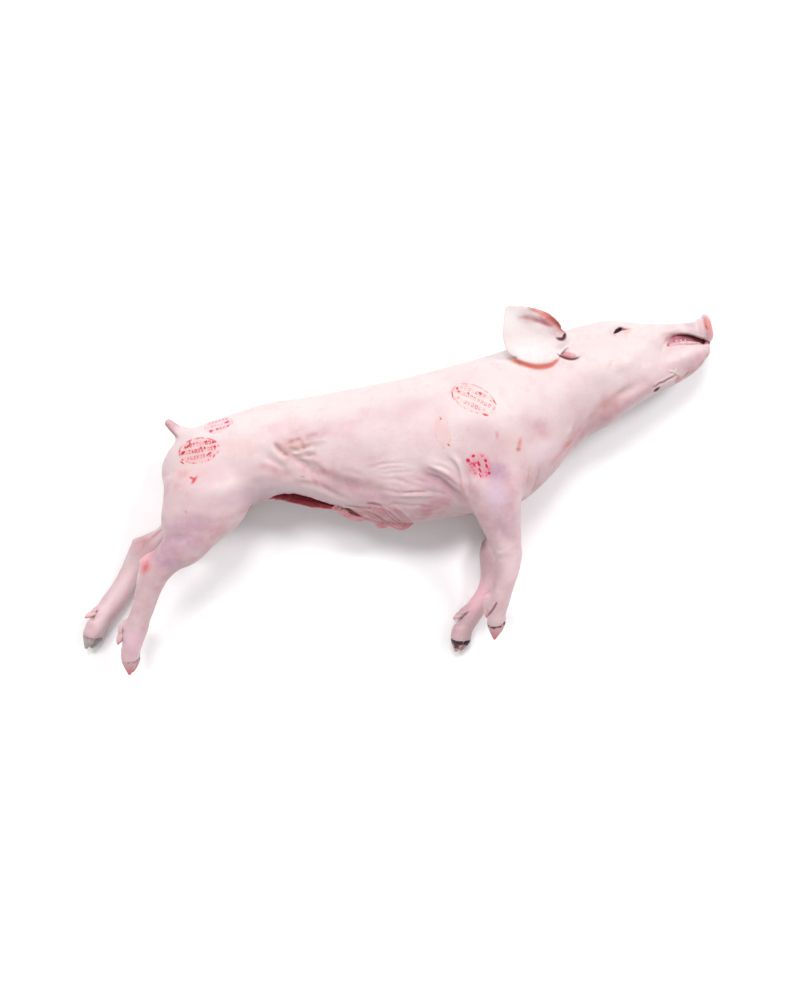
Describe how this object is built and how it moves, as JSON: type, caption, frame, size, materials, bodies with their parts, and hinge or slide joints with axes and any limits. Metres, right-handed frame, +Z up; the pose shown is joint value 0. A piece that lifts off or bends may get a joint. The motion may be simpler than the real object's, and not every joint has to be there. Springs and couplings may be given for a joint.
{
  "type": "suckling pig",
  "caption": "Whole dressed suckling pig, scalded and gutted, lying on its left side with the head stretched forward and the belly slit.",
  "frame": {"origin": "middle of the bounding box's bottom face, on the table that the left flank lies on", "axes": "+X along the back towards the snout, +Y from the belly to the back, +Z up through the right flank"},
  "size_m": [0.714, 0.3376, 0.1151],
  "materials": {
    "pigskin": "pale pink, scalded and slightly moist"
  },
  "bodies": {
    "root": {"suckling_pig": "pigskin"}
  },
  "joints": []
}
